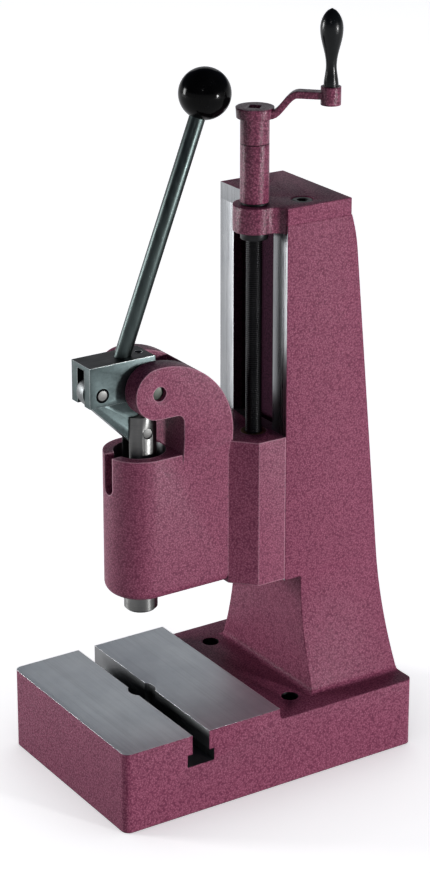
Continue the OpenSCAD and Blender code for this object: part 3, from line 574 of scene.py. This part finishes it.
def thread_radius(share, crest, root):
    """Radius over one lead of a trapezoidal thread, for a share of the lead from 0 to 1."""
    crest_end = 0.32
    root_start = 0.5
    root_end = 0.82
    if share < crest_end:
        return crest
    if share < root_start:
        return crest + (root - crest) * (share - crest_end) / (root_start - crest_end)
    if share < root_end:
        return root
    return root + (crest - root) * (share - root_end) / (1.0 - root_end)


def threaded_spindle():
    """Screw spindle with its thread cut in, a plain journal and a square end for the crank."""
    lead = 1.25 * MM
    thread_depth = 0.65 * MM
    collar_lap = 1.0 * MM
    point = 0.6 * MM
    square = 6.9 * MM
    chamfer = 0.5 * MM
    around = 24
    steps_per_lead = 5
    low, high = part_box("spindle")
    x = (low.x + high.x) / 2
    y = (low.y + high.y) / 2
    crest = (high.x - low.x) / 2
    root = crest - thread_depth
    thread_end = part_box("spindle_collar")[0].z + collar_lap
    journal_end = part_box("crank")[0].z
    rows = int((thread_end - low.z) / lead * steps_per_lead)
    points = []
    for row in range(rows + 1):
        z = low.z + (thread_end - low.z) * row / rows
        fade = min(1.0, row / steps_per_lead, (rows - row) / steps_per_lead)
        for k in range(around):
            share = ((z - low.z) / lead - k / around) % 1.0
            cut = crest - thread_radius(share, crest, root)
            radius = crest - cut * fade - (point if row == 0 else 0.0)
            angle = 2.0 * math.pi * k / around
            points.append((x + radius * math.cos(angle), y + radius * math.sin(angle), z))
    points += ring_points(x, y, journal_end, crest, around)
    faces = closed_tube(0, rows + 2, around)
    first = len(points)
    corner = square / math.sqrt(2.0)
    levels = ((journal_end, corner), (high.z - chamfer, corner), (high.z, corner - chamfer))
    for z, radius in levels:
        points += ring_points(x, y, z, radius, 4, math.pi / 2)
    faces += closed_tube(first, len(levels), 4)
    return mesh_piece("spindle_thread", points, faces, screw_steel)


thread = threaded_spindle()
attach(thread, "crank")
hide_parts("spindle")

# Studio: a pale floor, soft side lights and a dim surround
FLOOR_SIZE = 60.0
FLOOR_Z = -0.4 * MM
CONTACT_REACH = 90.0 * MM
MIDDLE = Vector((0.0, 0.0, 0.22))


def stage_material():
    """Matt floor: near white to the eye, shaded where the press stands partly by real shadow and partly by
    a painted shadow in its glow, grey for bounced light.
    """
    s = Shader("stage_floor", roughness=0.9)
    s.set("Base Color", (0.3, 0.3, 0.3, 1.0))
    output = next(n for n in s.tree.nodes if n.bl_idname == "ShaderNodeOutputMaterial")
    path = s.add("ShaderNodeLightPath")
    seen = s.math("MAXIMUM", path.outputs["Is Camera Ray"], path.outputs["Is Glossy Ray"])
    seen = s.math("MAXIMUM", seen, path.outputs["Is Transmission Ray"])
    contact = s.add("ShaderNodeAmbientOcclusion", samples=8)
    contact.inputs["Distance"].default_value = CONTACT_REACH
    # Painted shadow: the floor's glow darkens where ambient occlusion finds the press near
    painted_floor_shadow = s.ramp(contact.outputs["AO"], ((0.35, (0.5, 0.5, 0.5)), (0.97, (1.0, 1.0, 1.0))))
    glow = s.add("ShaderNodeEmission")
    glow.inputs["Strength"].default_value = 0.8
    s.link(painted_floor_shadow, glow.inputs["Color"])
    matt = s.add("ShaderNodeBsdfDiffuse")
    matt.inputs["Color"].default_value = (0.8, 0.8, 0.8, 1.0)
    pale = s.add("ShaderNodeAddShader")
    s.link(matt.outputs["BSDF"], pale.inputs[0])
    s.link(glow.outputs["Emission"], pale.inputs[1])
    blend = s.add("ShaderNodeMixShader")
    s.link(seen, blend.inputs[0])
    s.link(s.surface.outputs["BSDF"], blend.inputs[1])
    s.link(pale.outputs["Shader"], blend.inputs[2])
    s.link(blend.outputs["Shader"], output.inputs["Surface"])
    return s.material


bpy.ops.mesh.primitive_plane_add(size=FLOOR_SIZE, location=(0.0, 0.0, FLOOR_Z))
floor = bpy.context.object
floor.name = "stage_floor"
floor.data.materials.append(stage_material())


def surround_world():
    """A surround that is pale at the horizon, and dim and a little cool above."""
    world = bpy.data.worlds.new("studio")
    world.use_nodes = True
    tree = world.node_tree
    tree.nodes.clear()
    output = tree.nodes.new("ShaderNodeOutputWorld")
    surround = tree.nodes.new("ShaderNodeBackground")
    direction = tree.nodes.new("ShaderNodeTexCoord")
    split = tree.nodes.new("ShaderNodeSeparateXYZ")
    fall = tree.nodes.new("ShaderNodeMapRange")
    fall.interpolation_type = "SMOOTHSTEP"
    for socket, value in (("From Min", 0.02), ("From Max", 0.2), ("To Min", 1.0), ("To Max", 0.07)):
        fall.inputs[socket].default_value = value
    cool = tree.nodes.new("ShaderNodeValToRGB")
    stops = ((0.05, (0.8, 0.8, 0.8, 1.0)), (0.3, (0.8, 0.88, 1.3, 1.0)))
    for element, (height, colour) in zip(cool.color_ramp.elements, stops):
        element.position = height
        element.color = colour
    tree.links.new(direction.outputs["Generated"], split.inputs["Vector"])
    tree.links.new(split.outputs["Z"], fall.inputs["Value"])
    tree.links.new(split.outputs["Z"], cool.inputs["Fac"])
    tree.links.new(fall.outputs["Result"], surround.inputs["Strength"])
    tree.links.new(cool.outputs["Color"], surround.inputs["Color"])
    tree.links.new(surround.outputs["Background"], output.inputs["Surface"])
    return world


bpy.context.scene.world = surround_world()


def softbox(name, place, width, height, power):
    """An area lamp that looks at the middle of the press."""
    lamp = bpy.data.lights.new(name, "AREA")
    lamp.shape = "RECTANGLE"
    lamp.size = width
    lamp.size_y = height
    lamp.energy = power
    holder = bpy.data.objects.new(name, lamp)
    bpy.context.scene.collection.objects.link(holder)
    holder.location = place
    aim = MIDDLE - Vector(place)
    holder.rotation_euler = aim.to_track_quat("-Z", "Y").to_euler()


softbox("key_right", (2.74, 1.2, 0.27), width=0.28, height=0.34, power=86.0)
softbox("fill_front", (-2.0, -2.3, 0.6), width=0.7, height=0.9, power=72.0)
softbox("front_glint", (1.6, -1.5, 1.5), width=0.09, height=0.09, power=2.0)
softbox("table_glow", (-1.9, 1.2, 1.25), width=1.6, height=1.0, power=3.7)

# Camera at the photograph's viewing angle
PICTURE_HEIGHT_PX = 874
FOCAL_PX = 2528.2
CAMERA_SHIFT_Y = -0.2
CAMERA_PLACE = (1.2272, -0.7904, 0.7844)
CAMERA_TILT = math.radians(90.0 - 17.509)
CAMERA_TURN = math.radians(57.178)
camera_data = bpy.data.cameras.new("camera")
camera_data.sensor_width = 36.0
camera_data.lens = FOCAL_PX * camera_data.sensor_width / PICTURE_HEIGHT_PX
camera_data.clip_end = 50.0
camera_data.shift_y = CAMERA_SHIFT_Y
camera = bpy.data.objects.new("camera", camera_data)
bpy.context.scene.collection.objects.link(camera)
camera.location = CAMERA_PLACE
camera.rotation_euler = (CAMERA_TILT, 0.0, CAMERA_TURN)
bpy.context.scene.camera = camera
bpy.context.scene.view_settings.view_transform = "Standard"
